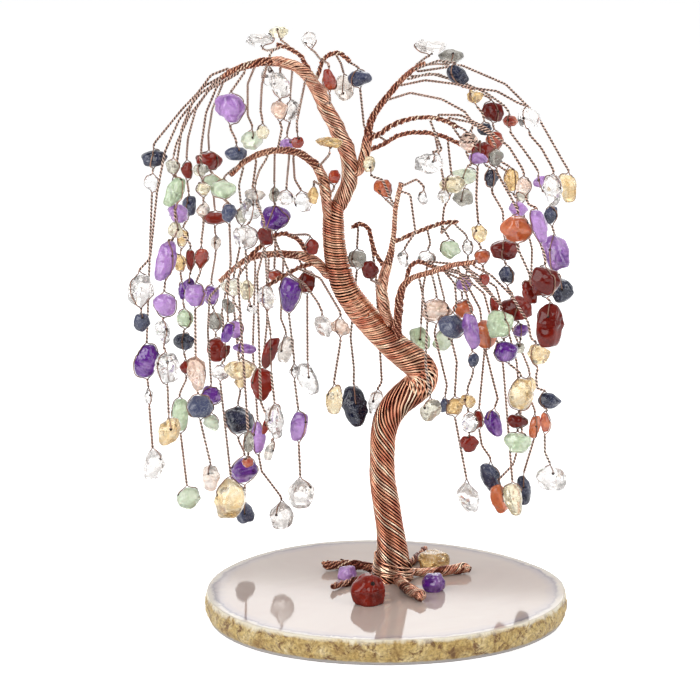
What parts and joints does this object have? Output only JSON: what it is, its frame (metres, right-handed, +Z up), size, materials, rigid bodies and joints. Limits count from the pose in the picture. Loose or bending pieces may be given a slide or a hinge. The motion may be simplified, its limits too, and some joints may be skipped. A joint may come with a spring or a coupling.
{
  "type": "gemstone tree ornament",
  "caption": "Weeping tree of twisted copper wire hung with tumbled gemstone chips, its wire roots spread on a round slice of agate.",
  "frame": {"origin": "middle of the agate slice's flat underside", "axes": "+Z up along the tree, +X to the right of the front view, -Y towards the viewer of the front view"},
  "size_m": [0.1253, 0.0988, 0.1657],
  "materials": {
    "agate": "polished face, rough golden rind",
    "amethyst": "tumbled, glossy, translucent violet",
    "citrine": "tumbled, glossy, translucent amber",
    "red_jasper": "tumbled, glossy, opaque red",
    "carnelian": "tumbled, glossy, translucent orange",
    "clear_quartz": "tumbled, glossy, nearly clear",
    "copper_limbs": "bright bare copper wire",
    "copper_twigs": "bright bare copper wire",
    "glue": "clear hard glue",
    "green_aventurine": "tumbled, glossy, cloudy green",
    "rose_quartz": "tumbled, glossy, milky pink",
    "smoky_quartz": "tumbled, glossy, smoky brown",
    "sodalite": "tumbled, glossy, opaque blue with pale veins",
    "copper_trunk": "bright bare copper wire"
  },
  "bodies": {
    "root": {"agate_slice": "agate", "amethyst_chips": "amethyst", "base_chip_amethyst_left": "amethyst", "base_chip_amethyst_right": "amethyst", "base_chip_citrine": "citrine", "base_chip_red_jasper": "red_jasper", "carnelian_chips": "carnelian", "citrine_chips": "citrine", "clear_quartz_chips": "clear_quartz", "crown_limb": "copper_limbs", "crown_limb_twigs": "copper_twigs", "crown_right_limb": "copper_limbs", "crown_right_limb_twigs": "copper_twigs", "crown_spray": "copper_limbs", "crown_spray_twigs": "copper_twigs", "foot_glue": "glue", "green_aventurine_chips": "green_aventurine", "inner_arch": "copper_limbs", "inner_arch_twigs": "copper_twigs", "inner_branch": "copper_limbs", "inner_branch_twigs": "copper_twigs", "inner_limb": "copper_limbs", "inner_limb_twigs": "copper_twigs", "left_middle_limb": "copper_limbs", "left_middle_limb_twigs": "copper_twigs", "lower_left_arch": "copper_limbs", "lower_left_arch_twigs": "copper_twigs", "lower_left_limb": "copper_limbs", "lower_left_limb_twigs": "copper_twigs", "lower_left_twist": "copper_limbs", "lower_left_twist_twigs": "copper_twigs", "red_jasper_chips": "red_jasper", "right_back_limb": "copper_limbs", "right_back_limb_twigs": "copper_twigs", "right_front_limb": "copper_limbs", "right_front_limb_twigs": "copper_twigs", "right_lower_arch": "copper_limbs", "right_lower_arch_twigs": "copper_twigs", "right_lower_limb": "copper_limbs", "right_lower_limb_twigs": "copper_twigs", "right_stem": "copper_limbs", "right_stem_twigs": "copper_twigs", "root_front_right": "copper_limbs", "root_left_back": "copper_limbs", "root_left_front": "copper_limbs", "root_right": "copper_limbs", "root_right_back": "copper_limbs", "rose_quartz_chips": "rose_quartz", "smoky_quartz_chips": "smoky_quartz", "sodalite_chips": "sodalite", "stem_limb": "copper_limbs", "trunk_core": "copper_trunk", "trunk_lower_wires": "copper_trunk", "trunk_upper_wires": "copper_trunk"}
  },
  "joints": []
}
